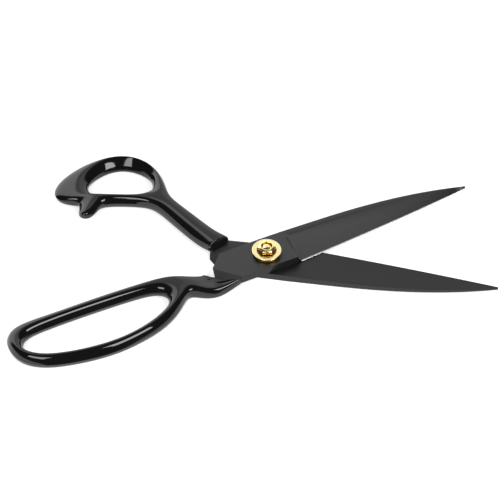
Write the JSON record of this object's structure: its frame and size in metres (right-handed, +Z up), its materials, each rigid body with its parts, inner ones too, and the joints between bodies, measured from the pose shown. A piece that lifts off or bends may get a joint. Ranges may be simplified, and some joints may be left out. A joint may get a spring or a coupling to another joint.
{
  "type": "tailor's shears",
  "caption": "Tailor's fabric shears lying open: black forged blades on an adjustable pivot bolt, a long finger bow and a round thumb bow with a rest prong.",
  "frame": {"origin": "on the pivot axis, at the flat underside of the pivot bolt's head, on the table that the shears lie on", "axes": "+X halfway between the two blades, towards their tips; +Z up along the pivot axis, from the lower blade to the upper one; +Y to the thumb bow's side"},
  "size_m": [0.2437, 0.1373, 0.0138],
  "materials": {
    "blackened_steel": "matt black coated forged steel, with a bright ground bevel along the cutting edge",
    "black_enamel": "gloss black stoved enamel on a cast handle",
    "gilt_brass": "bright, lightly polished"
  },
  "bodies": {
    "lower_half": {"lower_blade": "blackened_steel", "thumb_bow": "black_enamel", "pivot_bolt": "gilt_brass", "cup_washer": "gilt_brass", "nut_washer": "gilt_brass"},
    "upper_half": {"upper_blade": "blackened_steel", "finger_bow": "black_enamel"},
    "nut": {"tension_nut": "gilt_brass"}
  },
  "joints": [
    {"name": "pivot", "type": "hinge", "parent": "lower_half", "child": "upper_half", "pos_m": [0, 0, 0.0045], "axis": [0, 0, 1], "range_deg": [-34.9, 55]},
    {"name": "tension_adjust", "type": "hinge", "parent": "lower_half", "child": "nut", "pos_m": [0, 0, 0.0115], "axis": [0, 0, 1], "range_deg": [-60, 60]}
  ]
}
